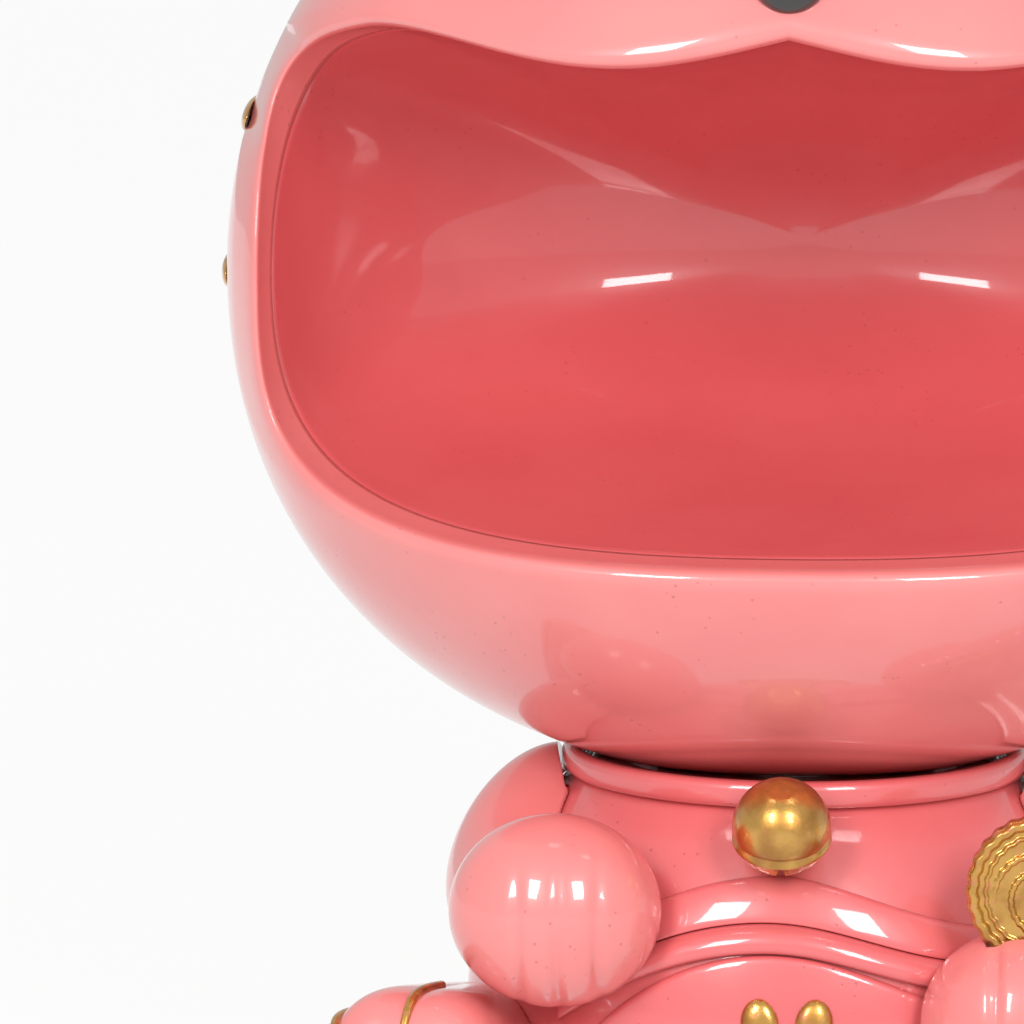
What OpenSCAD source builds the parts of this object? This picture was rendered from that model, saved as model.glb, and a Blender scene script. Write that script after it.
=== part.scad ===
// Figural cat coin bank: a big-mouthed storage head on a small seated body.
// Origin at the middle of the footprint on the table, +Z up, the face looks along -Y.

/* [Head] */
// Overall width of the head
head_w = 200; // [170:1:240]
// Height from the head's middle up to the crown
head_up = 94.5; // [80:0.5:110]
// Depth from the head's middle down to the chin
head_down = 90; // [78:0.5:104]
// Reach from the head's middle forward to the muzzle
head_front = 82; // [72:0.5:96]
// Reach from the head's middle back to the nape
head_back = 72; // [66:0.5:90]
// Height of the head's middle above the table
head_z = 165; // [158:1:180]
// Wall of the head casting
head_wall = 4; // [3:0.25:5]

/* [Mouth] */
// Half the width of the mouth opening
mouth_half_w = 92; // [70:0.5:92]
// Middle of the mouth below the middle of the head
mouth_drop = 2; // [0:0.5:6]
// Height of the upper lip line above the mouth's middle
mouth_up = 47.5; // [36:0.5:50]
// Depth of the lower lip line below the mouth's middle
mouth_down = 40.7; // [32:0.5:46]
// How far the two muzzle lobes hang into the mouth
lobe_drop = 5.5; // [2:0.25:8]
// Distance from the muzzle to the back of the storage bowl
bowl_depth = 122; // [90:1:126]
// Depth of the rim that belongs to the head casting
rim_depth = 14; // [12:0.5:20]
// Wall of the bowl liner
bowl_wall = 3; // [2:0.25:4]

/* [Body] */
// Half width of the body at the belly
belly_x = 58; // [50:0.5:66]
// Half depth of the body at the belly
belly_y = 52; // [46:0.5:60]
// Half width of the body at the neck
neck_x = 36; // [33:0.5:42]
// Half depth of the body at the neck
neck_y = 34; // [32:0.5:40]
// Half width of the body at the base
base_x = 51; // [46:0.5:58]
// Height of the widest part of the belly
belly_z = 34; // [28:1:40]
// Height of the flat seat that carries the head
neck_z = 79; // [75:0.5:80]
// Wall of the body casting
body_wall = 4; // [3:0.25:5]

/* [Neck sleeve and collar] */
// Outer radius of the sleeve that joins head and body
sleeve_r = 24; // [18:0.5:26]
// Wall of the sleeve
sleeve_wall = 2.5; // [2:0.25:4]
// Length of the sleeve
sleeve_len = 18; // [12:1:24]
// Height of the collar band
collar_h = 4.6; // [3:0.2:6]
// Thickness of the collar band
collar_t = 3; // [2:0.25:4]

/* [Coin slot and stopper] */
// Length of the coin slot
slot_len = 42; // [32:1:50]
// Width of the coin slot
slot_w = 5; // [4.4:0.1:7]
// Height of the coin slot above the head's middle
slot_up = 36; // [20:1:50]
// Radius of the stopper's shank
stopper_r = 21; // [16:0.5:24]
// Depth of the stopper's shank
stopper_len = 9; // [7:0.5:14]
// Thickness of the base plate
base_t = 4; // [3:0.25:6]
// Thickness of the non-slip pads
pad_t = 2; // [1.5:0.25:3]

/* [Bell and medallion] */
// Radius of the bell
bell_r = 8.4; // [6:0.2:10]
// Radius of the medallion
coin_r = 13.2; // [10:0.2:16]
// Thickness of the medallion
coin_t = 3.4; // [2.4:0.2:5]

/* [Hidden] */
pink = [0.96, 0.5, 0.5];
red_pink = [0.84, 0.3, 0.32];
gold = [0.83, 0.58, 0.2];
black = [0.06, 0.06, 0.06];
glue = 0.2;            // glue line under every piece that is bonded on
fit = 0.1;             // radial clearance of sleeve in its holes
fine = 96;             // $fn of true round pieces
mouth_n = 72;          // points round the mouth and head
body_n = 48;           // points round the body
lobe_x = 31;           // distance of each muzzle lobe from the middle
lobe_w = 33.5;         // half width of a muzzle lobe
roll = 2.2;            // roll of the rim's edge
base_z = pad_t;        // underside of the base plate
shell_z = base_z + base_t;
sole_z = 0.6;          // underside of the feet
neck_top = neck_z;

function clamp(v, lo, hi) = min(max(v, lo), hi);
function lerp(a, b, t) = a + (b - a) * t;
function unit(v) = v / norm(v);
function spow(v, p) = sign(v) * pow(abs(v), p);

// Closed skin over rings of equal length. The ends close on a middle point, or the last ring meets the first.
module skin(rings, loop = false) {
    n = len(rings);
    m = len(rings[0]);
    ends = loop ? [] : [[for (k = [0:2]) avg([for (p = rings[0]) p[k]])],
                        [for (k = [0:2]) avg([for (p = rings[n - 1]) p[k]])]];
    pts = concat([for (r = rings) each r], ends);
    side = [for (i = [0:(loop ? n - 1 : n - 2)]) for (j = [0:m - 1]) each
        let (a = i * m + j, b = i * m + (j + 1) % m, i2 = (i + 1) % n, c = i2 * m + (j + 1) % m, d = i2 * m + j)
        [[a, b, c], [a, c, d]]];
    caps = loop ? [] : concat([for (j = [0:m - 1]) [(j + 1) % m, j, n * m]],
        [for (j = [0:m - 1]) [(n - 1) * m + j, (n - 1) * m + (j + 1) % m, n * m + 1]]);
    faces = concat(side, caps);
    inward = bulk(pts, faces) > 0;
    polyhedron(pts, inward ? [for (f = faces) [f[0], f[2], f[1]]] : faces, convexity = 10);
}
function bulk(pts, faces) = avg([for (f = faces) pts[f[0]] * cross(pts[f[1]], pts[f[2]])]);
function avg(v) = v * [for (x = v) 1] / len(v);

// ---- Head form: half ellipsoids, a little fuller below its middle
function head_r(th) = let (low = sin(th) < 0, n = low ? 2.15 : 2)
    pow(pow(abs(cos(th)) / (head_w / 2), n) + pow(abs(sin(th)) / (low ? head_down : head_up), n), -1 / n);
function head_pt(th, ph, off = 0) = let (r = (head_r(th) + off) * sin(ph), d = cos(ph) > 0 ? head_front : head_back)
    [r * cos(th), -(d + off) * cos(ph), head_z + r * sin(th)];
// Point on the front of the head over (x, z), measured from the head's middle
function face_pt(x, z, off = 0) = let (th = atan2(z, x), s = norm([x, z]) / head_r(th)) head_pt(th, asin(min(s, 1)), off);
function back_pt(x, z, off = 0) = let (th = atan2(z, x), s = norm([x, z]) / head_r(th)) head_pt(th, 180 - asin(min(s, 1)), off);
// How far out a point is: 1 lies off above the head, less is nearer the middle
function head_share(p, off) = let (x = p[0], z = p[2] - head_z, d = p[1] < 0 ? head_front : head_back)
    norm([norm([x, z]) / (head_r(atan2(z, x)) + off), p[1] / (d + off)]);
function on_head(p, off) = let (s = head_share(p, off)) [p[0] / s, p[1] / s, head_z + (p[2] - head_z) / s];
function clear_head(p, off) = head_share(p, off) >= 1 ? p : on_head(p, off);

// ---- Mouth outline, as (x, z) from the head's middle
function lobe(x) = lobe_drop * (abs(abs(x) - lobe_x) < lobe_w ? cos(90 * (abs(x) - lobe_x) / lobe_w) : 0);
function mouth_xz(t) = let (up = sin(t) > 0, p = up ? 5.6 : 3.2, b = up ? mouth_up : mouth_down,
    r = pow(pow(abs(cos(t)) / mouth_half_w, p) + pow(abs(sin(t)) / b, p), -1 / p), x = r * cos(t))
    [x, r * sin(t) - mouth_drop - (up ? lobe(x) * min(1, 2 * sin(t)) : 0)];
function mouth_t(i) = let (u = 360 * i / mouth_n) u - 8 * sin(2 * u);
// Bowl profile: share d of the way back, from the rim to the bowl's deepest point
function bowl_pt(t, d, off = 0) = let (o = mouth_xz(t), f = face_pt(o[0], o[1]), y_back = -head_front + bowl_depth,
    q = pow(max(0, 1 - pow(d, 2.1)), 1 / 2.1), a = atan2(o[1], o[0]), h = (mouth_up + mouth_down) / 2,
    oval_r = 1 / norm([cos(a) / mouth_half_w, sin(a) / h]),
    r = lerp(norm(o), oval_r, pow(d, 1.2)) * q + off * sqrt(max(0, 1 - d * d)))
    [r * cos(a), lerp(f[1], y_back, d) + off * d, head_z + r * sin(a)];
function rim_share(t) = let (o = mouth_xz(t), f = face_pt(o[0], o[1])) rim_depth / (bowl_depth - head_front - f[1]);

module head_casting() {
    ts = [for (i = [0:mouth_n - 1]) mouth_t(i)];
    outer = [for (k = [0:16]) [for (t = ts) let (o = mouth_xz(t), th = atan2(o[1], o[0]),
        p0 = asin(min(1, (norm(o) + roll) / head_r(th))), ph = lerp(p0, 179, k / 16)) head_pt(th, ph)]];
    inner = [for (k = [0:12]) [for (t = ts) let (o = mouth_xz(t), th = atan2(o[1], o[0]), f = face_pt(o[0], o[1]),
        p0 = acos(clamp(-(f[1] + rim_depth + 3) / (head_front - head_wall), -1, 1)),
        ph = lerp(179, p0, k / 12), p = head_pt(th, ph, -head_wall)) [p[0], p[1], max(p[2], neck_top + head_wall)]]];
    seat = [for (t = ts) bowl_pt(t, rim_share(t), bowl_wall + 0.6)];
    step = [for (t = ts) bowl_pt(t, rim_share(t))];
    lip = [for (t = ts) bowl_pt(t, rim_share(t) * 0.35)];
    edge = [for (t = ts) let (o = mouth_xz(t), a = atan2(o[1], o[0]), p = face_pt(o[0], o[1]))
        p + [cos(a) * roll * 0.3, roll * 0.35, sin(a) * roll * 0.3]];
    skin(concat([for (k = [16:-1:0]) outer[k]], [edge, lip, step, seat], [for (k = [12:-1:0]) inner[k]]));
}
module head_shell() {
    color(pink) difference() {
        head_casting();
        translate([-60, -60, head_z - head_down - 5]) cube([120, 120, neck_top + glue + 5 - (head_z - head_down)]);
        translate([0, 0, neck_top - 5]) cylinder(r = sleeve_r + fit, h = 25, $fn = fine);
        translate([-slot_len / 2, head_back * 0.5, head_z + slot_up - slot_w / 2]) cube([slot_len, head_back, slot_w]);
    }
}
module mouth_bowl() {
    ts = [for (i = [0:mouth_n - 1]) mouth_t(i)];
    ks = [for (k = [0:9]) k / 9];
    front = [for (k = ks) [for (t = ts) bowl_pt(t, lerp(rim_share(t) + 0.002, 0.998, pow(k, 0.75)))]];
    back = [for (k = ks) [for (t = ts) bowl_pt(t, lerp(rim_share(t) + 0.002, 0.998, pow(k, 0.75)), bowl_wall)]];
    color(red_pink) skin(concat([for (k = [9:-1:0]) front[k]], back));
}

// A raised button: outline is a list of [u, v], over(u, v, off) gives the points it lies on
module button(outline, over, h, base = glue) {
    c = [avg([for (p = outline) p[0]]), avg([for (p = outline) p[1]])];
    ring = function(s, off) [for (p = outline) let (q = c + (p - c) * s) over(q[0], q[1], off)];
    skin([ring(0.02, h), ring(0.4, h * 0.97), ring(0.75, h * 0.8), ring(0.94, h * 0.5), ring(1, base + h * 0.12),
        ring(1, base), ring(0.6, base), ring(0.02, base)]);
}
function oval(cx, cy, rx, ry, n = 20, turn = 0) = [for (i = [0:n - 1]) let (a = -360 * i / n, x = rx * cos(a), y = ry * sin(a))
    [cx + x * cos(turn) - y * sin(turn), cy + x * sin(turn) + y * cos(turn)]];
face = function(u, v, off) face_pt(u, v, off);
cheek = function(u, v, off) head_pt(u, v, off);
front = function(u, v, off) body_front(u, v, off);

module nose() {
    outline = [for (i = [0:23]) let (a = -15 * i, r = 1 + 0.12 * cos(3 * (a + 90)))
        [8.6 * r * cos(a), 56 + 5.8 * r * sin(a)]];
    color(black) button(outline, face, 4.2);
}
// Closed smiling eye: a bowed sausage that follows the face
module eye(side) {
    rings = [for (k = [0:12]) let (u = k / 12, x = side * lerp(22, 56, u), z = 62 + 10 * sin(180 * u) - 1,
        w = 2.2 * pow(max(0.06, sin(180 * lerp(0.03, 0.97, u))), 0.35)) 
        [for (j = [0:9]) let (a = -side * 36 * j) face_pt(x, z + w * cos(a), glue + 1.1 + 1.1 * sin(a))]];
    color(black) skin(rings);
}
module left_eye() eye(-1);
module right_eye() eye(1);
module whiskers(side) {
    for (w = [[0, 15], [1, -1]])
        color(gold) button([for (p = oval(0, 0, 2.0, 10, 20)) let (th = side > 0 ? w[1] + p[0] : 180 - w[1] - p[0])
            side > 0 ? [th, 97 + p[1]] : [th, 97 - p[1]]], cheek, 1.6);
}
module left_whiskers() whiskers(-1);
module right_whiskers() whiskers(1);

// Ears stand on the crown: rounded triangles leaning outwards
ear_x = 54;
ear_h = 27;
ear_lean = 26;
function ear_pt(side, a, u, grow = 0) = let (taper = pow(1 - pow(max(u, 0), 1.9), 0.62), w = (21 + grow) * taper, d = (10 + grow) * taper,
    x = w * cos(a), y = d * sin(a) + 2, z = 74 + 24 * u - 9 * (1 - u),
    px = ear_x + x * cos(ear_lean) + (z - 74) * sin(ear_lean), pz = z * 1 - x * sin(ear_lean))
    [side * px, y, head_z + pz];
// Share of the height at which the ear's wall at angle a leaves the head
function ear_root(side, a, off, lo = -0.25, hi = 0.9, n = 14) = n == 0 ? hi : let (m = (lo + hi) / 2)
    head_share(ear_pt(side, a, m), off) < 1 ? ear_root(side, a, off, m, hi, n - 1) : ear_root(side, a, off, lo, m, n - 1);
module ear(side) {
    gap = glue + 0.2;
    roots = [for (j = [0:23]) ear_root(side, side * 15 * j, gap)];
    rings = [for (k = [0:9]) [for (j = [0:23]) ear_pt(side, side * 15 * j, lerp(roots[j], 0.985, pow(k / 9, 0.8)))]];
    c = [for (k = [0:2]) avg([for (p = rings[0]) p[k]])];
    seat = [for (s = [0.03, 0.3, 0.6, 0.85]) [for (p = rings[0]) on_head(c + (p - c) * s, gap)]];
    color(pink) skin(concat(seat, rings));
}
module left_ear() ear(-1);
module right_ear() ear(1);
// Inner ears are thin gilt plates bonded on the ears' front faces
module inner_ear(side) {
    us = [for (k = [0:8]) lerp(0.34, 0.8, k / 8)];
    plate = function(off) [for (u = us) [for (a = [-115, -100, -90, -80, -65]) 
        ear_pt(side, a, u, 0.6 + off)]];
    low = plate(0);
    high = plate(1.1);
    rings = [for (i = [0:8]) let (row = concat(low[i], [for (j = [4:-1:0]) high[i][j]]))
        [for (j = [0:9]) clear_head(row[side > 0 ? j : 9 - j], 1.4)]];
    color(gold) skin(rings);
}
module left_inner_ear() inner_ear(-1);
module right_inner_ear() inner_ear(1);

// ---- Body: oval cross-sections, widest at the belly
function body_share(z) = z > belly_z ? pow((z - belly_z) / (neck_z - belly_z), 2.2) : 0;
function base_share(z) = z < belly_z ? pow((belly_z - z) / belly_z, 2) : 0;
function body_x(z) = belly_x - (belly_x - neck_x) * body_share(z) - (belly_x - base_x) * base_share(z);
function body_y(z) = belly_y - (belly_y - neck_y) * body_share(z) - (belly_x - base_x) * base_share(z);
function body_front(x, z, off = 0) = let (zz = clamp(z, 0, neck_z), rx = body_x(zz) + off, ry = body_y(zz) + off)
    [x, -ry * sqrt(max(0.0001, 1 - pow(x / rx, 2))), z];
function clear_body(p, off) = let (z = clamp(p[2], 0, neck_z), s = norm([p[0] / (body_x(z) + off), p[1] / (body_y(z) + off)]))
    s >= 1 ? p : [p[0] / s, p[1] / s, p[2]];
// Pushes a point out of the oval column that the collar and the neck fill
function clear_collar(p, off) = let (s = norm([p[0] / (neck_x + off), p[1] / (neck_y + off)]))
    s >= 1 || p[2] < neck_z - 5 ? p : [p[0] / s, p[1] / s, p[2]];
function body_ring(z, off) = [for (j = [0:body_n - 1]) let (a = 360 * j / body_n)
    [(body_x(z) + off) * cos(a), (body_y(z) + off) * sin(a), z]];
module torso_shell() {
    zs = [for (k = [0:10]) lerp(shell_z, neck_z, k / 10)];
    top = neck_z - body_wall;
    inner = [for (k = [0:8]) lerp(top, shell_z, k / 8)];
    hole = [for (z = [neck_z, top]) [for (j = [0:body_n - 1]) let (a = 360 * j / body_n) [15 * cos(a), 15 * sin(a), z]]];
    color(pink) difference() {
        skin(concat([for (z = zs) body_ring(z, 0)], hole, [for (z = inner) body_ring(z, -body_wall)]), loop = true);
        translate([0, 0, neck_z - 20]) cylinder(r = sleeve_r + fit, h = 30, $fn = fine);
    }
}
module neck_sleeve() {
    z0 = neck_z - sleeve_len / 2;
    color("white") difference() {
        translate([0, 0, z0]) cylinder(r = sleeve_r, h = sleeve_len, $fn = fine);
        translate([0, 0, z0 - 1]) cylinder(r = sleeve_r - sleeve_wall, h = sleeve_len + 2, $fn = fine);
    }
}
// Collar band lies round the neck, its upper edge tucked under the head
module collar_band() {
    z1 = neck_z + 1.6;
    ring = function(z, off) [for (j = [0:59]) let (a = 6 * j) clear_head([(neck_x + off) * cos(a), (neck_y + off) * sin(a), z], glue)];
    lift = function(r) [for (p = r) clear_body(p, glue)];
    z0 = z1 - collar_h;
    color(pink) skin([lift(ring(z0, 1.5)), lift(ring(z0, 1.5 + collar_t)), lift(ring(z0 + 1, 2.5 + collar_t)),
        ring(z1 - 1, 2.5 + collar_t), ring(z1, 1.5 + collar_t), ring(z1, 2.4), ring(z1 - 1, 1.2)], loop = true);
}
bell_c = [-1, -(neck_y + bell_r + 6.4), 75];
module bell() {
    lean = 28;
    color(gold) translate(bell_c) rotate([lean, 0, 0]) difference() {
        union() {
            sphere(r = bell_r, $fn = 48);
            translate([0, 0, -bell_r * 0.3 - 0.5]) cylinder(r = bell_r + 0.3, h = 1, $fn = fine);
            translate([0, bell_r - 1.2, 0]) rotate([-90, 0, 0]) cylinder(r = 2, h = 2.2, $fn = fine);
        }
        translate([-0.6, -bell_r - 1, -bell_r - 1]) cube([1.2, 2 * bell_r + 2, bell_r * 0.6]);
    }
}

// ---- Apron, sash and trim follow one hem line across the belly
hem_top = 58;
function hem_z(x) = hem_top - (x < -3 ? 0.0108 * pow(x + 3, 2) : 9.5 * (1 - exp(-pow((x + 3) / 27, 2))));
function strip_ring(x, z0, z1, h) = [front(x, z0, glue), front(x, z0, h * 0.7), front(x, z0 + (z1 - z0) * 0.15, h),
    front(x, z0 + (z1 - z0) * 0.85, h), front(x, z1, h * 0.7), front(x, z1, glue), front(x, (z0 + z1) / 2, glue)];
strip_x = [for (k = [-12:12]) k * 3.3];
module sash_band() {
    color(pink) skin([for (x = strip_x) strip_ring(x, hem_z(x) + 0.3, hem_z(x) + lerp(7.6, 5.6, abs(x) / 40), 1.6)]);
}
module apron_trim() {
    color(pink) skin([for (x = strip_x) strip_ring(x, hem_z(x) - 4.9, hem_z(x), 2.8)]);
}
apron_low = 7;
function apron_edge(a) = let (x = 37 * spow(cos(a), 0.8), top = hem_z(x) - 5.3)
    [x, sin(a) > 0 ? lerp((top + apron_low) / 2, top, pow(sin(a), 0.45)) : lerp((top + apron_low) / 2, apron_low, pow(-sin(a), 0.7))];
apron_h = 1.5;
module belly_apron() {
    outline = [for (i = [0:39]) apron_edge(-9 * i)];
    c = [0, 30];
    ring = function(s, off) [for (p = outline) let (q = c + (p - c) * s) front(q[0], q[1], off)];
    color(pink) skin([ring(0.03, apron_h), ring(0.35, apron_h), ring(0.7, apron_h), ring(0.97, apron_h), ring(1, apron_h * 0.6),
        ring(1, 0.4), ring(0.7, 0.4), ring(0.35, 0.4), ring(0.03, 0.4)]);
}
// Generic paw print in relief on the apron
module paw_emblem() {
    on_apron = function(u, v, off) front(u, v, apron_h + off);
    for (toe = [[-11.5, 35.5, 3.0, 4.0, 24], [-4.4, 41.5, 3.2, 4.4, 8], [4.8, 41.5, 3.2, 4.4, -8], [11.9, 35.5, 3.0, 4.0, -24]])
        color(gold) button(oval(toe[0], toe[1], toe[2], toe[3], 18, toe[4]), on_apron, 1.5);
    pad = [for (i = [0:27]) let (a = -360 * i / 28, r = 1 + 0.13 * cos(3 * (a - 90))) [0.2 + 8.4 * r * cos(a), 27.2 + 7 * r * sin(a)]];
    color(gold) button(pad, on_apron, 1.7);
}

// ---- Limbs: a path of [centre, radius across, radius up], skinned with oval rings
function limb_ring(c, dir, rx, ry, n = 24) = let (d = unit(dir), side = unit(cross(d, [0, 0, 1])), up = cross(side, d))
    [for (j = [0:n - 1]) let (a = 360 * j / n) c + side * (rx * cos(a)) + up * (ry * sin(a))];
function bezier(p, u) = pow(1 - u, 3) * p[0] + 3 * pow(1 - u, 2) * u * p[1] + 3 * (1 - u) * u * u * p[2] + pow(u, 3) * p[3];
function path_rings(p, r0, r1, n = 12, bulge = 0) = [for (k = [0:n]) let (u = k / n, q = min(0.98, max(0.02, u)),
    d = bezier(p, min(1, q + 0.02)) - bezier(p, max(0, q - 0.02)),
    cap = sqrt(max(0.02, 1 - pow(abs(2 * u - 1), 8))), r = (lerp(r0, r1, u) + bulge * sin(180 * u)) * cap)
    limb_ring(bezier(p, u), d, r, r)];
function flip(pts, side) = [for (p = pts) [side * p[0], p[1], p[2]]];
function turned(r, side) = side > 0 ? r : [for (i = [len(r) - 1:-1:0]) r[i]];

left_paw_c = [-39.5, -49, 60];
right_paw_c = [41, -51, 42];
paw_r = [18.2, 15.2, 16.6];
module arm(side, paw) {
    path = [[34, -2, 70], [46, 2, 71], [52, -14, 49], [side * paw[0] + 4, paw[1] + 14, paw[2] - 1]];
    rings = path_rings(path, 11.5, 11.5, 14, 2);
    color(pink) skin([for (r = rings) turned([for (p = flip(r, side))
        clear_paw(clear_leg(clear_collar(clear_body(clear_head(p, 0.6), 0.6), 6), side, 1.5), paw, 0.4)], side)]);
}
// Pushes a point out of the oval that holds a paw
function clear_paw(p, c, off) = let (q = p - c, s = norm([q[0] / (paw_r[0] + off), q[1] / (paw_r[1] + off), q[2] / (paw_r[2] + off)]))
    s >= 1 ? p : c + q / max(s, 0.05);
module left_arm() arm(-1, left_paw_c);
module right_arm() arm(1, right_paw_c);
module paw(c, side) {
    rings = [for (k = [0:10]) let (v = lerp(4, 176, k / 10)) [for (j = [0:23]) let (a = 15 * j,
        p = c + [paw_r[0] * sin(v) * cos(a), -paw_r[1] * cos(v), paw_r[2] * sin(v) * sin(a)]) clear_body(p, 3.4)]];
    color(pink) skin([for (r = rings) [for (i = [23:-1:0]) r[i]]]);
}
module left_paw() paw(left_paw_c, -1);
module right_paw() difference() {
    paw(right_paw_c, 1);
    translate([coin_c[0], coin_c[1], coin_c[2]]) rotate([90, 0, 0]) cylinder(r = coin_r + 0.15, h = coin_t + 0.3, center = true, $fn = fine);
}
coin_c = [43.5, -54, 65.5];
module medallion() {
    color(gold) translate(coin_c) rotate([90, 0, 0]) {
        difference() {
            cylinder(r = coin_r, h = coin_t, center = true, $fn = fine);
            translate([0, 0, coin_t / 2 - 0.8]) cylinder(r = coin_r - 2.2, h = 1, $fn = fine);
        }
        for (k = [0:5]) rotate([0, 0, 60 * k]) translate([coin_r * 0.45, 0, coin_t / 2 - 0.8]) difference() {
            cylinder(r = 2.3, h = 0.7, $fn = 48);
            translate([0, 0, -0.01]) cylinder(r = 1.3, h = 1, $fn = 48);
        }
    }
}
// ---- Legs stretched forward with the soles upright, and three toes each
foot_c = [66, -50, 24.5];
function leg_c(u) = [lerp(52, foot_c[0], u), lerp(-4, -64, u), lerp(20, foot_c[2], u)];
function leg_w(u) = lerp(17, 21.5, pow(u, 0.7));
function leg_h(u) = lerp(17, 23.5, pow(u, 0.7));
function leg_cap(u) = pow(max(0, 1 - pow(abs(2 * u - 1), 7)), 0.5) * 0.97 + 0.03;
function toe_lift(a, u) = a > 13 && a < 133 ? 0.085 * u * abs(cos(4.5 * (a - 73))) : 0;
// Pushes a point out of the leg on its side
function clear_leg(p, side, off) = let (u = clamp((-4 - p[1]) / 60, 0, 1), c = leg_c(u), k = leg_cap(u),
    x = side * p[0] - c[0], z = p[2] - c[2], s = norm([x / (leg_w(u) * k + off), z / (leg_h(u) * k * (1 + toe_lift(93, u)) + off)]))
    s >= 1 || p[1] > -4 || p[1] < -64 ? p : [side * (c[0] + x / s), p[1], c[2] + z / s];
module leg(side) {
    shape = function(u) let (c = leg_c(u), k = leg_cap(u)) [for (j = [0:39]) let (a = 9 * j, r = k * (1 + toe_lift(a, u)))
        [side * (c[0] + leg_w(u) * r * cos(a)), c[1], max(sole_z, c[2] + leg_h(u) * r * sin(a))]];
    keep = function(p) clear_paw(clear_body(p, glue + 0.1), side < 0 ? left_paw_c : right_paw_c, 1.8);
    color(pink) skin([for (k = [0:12]) let (r = [for (p = shape(k / 12)) keep(p)]) turned(r, -side)]);
}
module left_leg() leg(-1);
module right_leg() leg(1);
// Gilt strips set in the grooves between the toes
module toe_inlays(side) {
    for (a = [53, 93]) color(gold) skin([for (k = [0:8]) let (u = lerp(0.62, 0.955, k / 8), c = leg_c(u), r = leg_cap(u),
        h = leg_h(u) * r + 0.6, w = leg_w(u) * r + 0.6)
        turned([for (q = [[-2.2, 0], [-2.2, 1], [0, 1.3], [2.2, 1], [2.2, 0]])
            [side * (c[0] + (w + q[1]) * cos(a + q[0])), c[1], c[2] + (h + q[1]) * sin(a + q[0])]], side)]);
}
module left_toe_inlays() toe_inlays(-1);
module right_toe_inlays() toe_inlays(1);
// Short tail curled up the back
module tail() {
    path = [[0, 48, 16], [24, 70, 8], [38, 62, 34], [22, 58, 52]];
    color(pink) skin([for (r = path_rings(path, 8, 5.5, 14)) [for (p = r) clear_body([p[0], p[1], max(p[2], 1)], glue)]]);
}

// ---- Base, stopper and pads
module base_plate() {
    color(pink) difference() {
        translate([0, 0, base_z]) linear_extrude(base_t - glue)
            polygon([for (j = [0:body_n - 1]) let (a = 360 * j / body_n)
                [body_x(base_z) * cos(a), body_y(base_z) * sin(a)]]);
        translate([0, 0, base_z - 1]) cylinder(r = stopper_r, h = base_t + 2, $fn = fine);
        translate([0, 0, base_z - 1]) cylinder(r = stopper_r + 3.2, h = 2.4, $fn = fine);
    }
}
module stopper() {
    play = 0.08;
    flange = 1.1;
    color("white") translate([0, 0, base_z]) rotate_extrude($fn = fine)
        polygon([[0, 1.8], [12, 1.8], [13, 0], [stopper_r + 3, 0], [stopper_r + 3, flange + 0.2], [stopper_r - play, flange + 0.2],
            [stopper_r - play, base_t], [stopper_r - 1.5, stopper_len], [0, stopper_len]]);
}
module foot_pads() {
    for (a = [45, 135, 225, 315]) color([0.2, 0.2, 0.2])
        translate([38 * cos(a), 36 * sin(a), 0]) cylinder(r = 6, h = pad_t, $fn = 48);
}

head_shell();
mouth_bowl();
left_ear();
right_ear();
left_inner_ear();
right_inner_ear();
left_eye();
right_eye();
nose();
left_whiskers();
right_whiskers();
neck_sleeve();
collar_band();
bell();
torso_shell();
belly_apron();
sash_band();
apron_trim();
paw_emblem();
left_arm();
right_arm();
left_paw();
right_paw();
medallion();
left_leg();
right_leg();
left_toe_inlays();
right_toe_inlays();
tail();
base_plate();
stopper();
foot_pads();
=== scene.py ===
"""Looks of a glossy figural cat coin bank: a big-mouthed head over a small seated body."""
from __future__ import annotations

import logging
import math
from dataclasses import dataclass, field
from enum import Enum
from typing import Callable, Sequence
import bpy
import numpy as np
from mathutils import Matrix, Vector


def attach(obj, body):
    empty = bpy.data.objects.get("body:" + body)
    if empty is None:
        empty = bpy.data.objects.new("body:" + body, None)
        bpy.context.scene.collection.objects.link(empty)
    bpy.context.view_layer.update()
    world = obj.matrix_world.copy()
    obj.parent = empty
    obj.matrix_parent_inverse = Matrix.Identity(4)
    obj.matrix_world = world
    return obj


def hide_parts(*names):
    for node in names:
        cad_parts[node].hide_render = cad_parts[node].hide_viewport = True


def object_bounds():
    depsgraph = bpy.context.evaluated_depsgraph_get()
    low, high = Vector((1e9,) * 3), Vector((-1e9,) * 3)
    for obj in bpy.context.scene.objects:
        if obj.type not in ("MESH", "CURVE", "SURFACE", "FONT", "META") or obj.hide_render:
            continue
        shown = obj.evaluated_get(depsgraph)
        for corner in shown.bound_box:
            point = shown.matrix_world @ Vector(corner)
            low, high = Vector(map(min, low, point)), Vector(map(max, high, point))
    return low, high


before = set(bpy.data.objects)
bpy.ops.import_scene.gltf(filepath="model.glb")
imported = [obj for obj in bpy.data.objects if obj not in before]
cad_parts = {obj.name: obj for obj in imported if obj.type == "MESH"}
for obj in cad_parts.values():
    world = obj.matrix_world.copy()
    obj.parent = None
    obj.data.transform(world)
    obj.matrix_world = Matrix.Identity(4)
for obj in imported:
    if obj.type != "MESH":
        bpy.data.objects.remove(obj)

LOG = logging.getLogger("cat_bank")
MM = 0.001
START_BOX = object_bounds()
LOW = np.array(START_BOX[0][:]) / MM
HIGH = np.array(START_BOX[1][:]) / MM
Rows = np.ndarray
Socket = bpy.types.NodeSocket


class Side(Enum):
    """Which side of the figure a limb is on, as the sign of its X."""

    LEFT = -1
    RIGHT = 1

    @property
    def word(self) -> str:
        """Name used in the pieces and nodes of this side."""
        return "left" if self is Side.LEFT else "right"


class Ends(Enum):
    """How a skin closes: on a pole at each end, or first row to last row."""

    POLES = "poles"
    LOOP = "loop"


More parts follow.
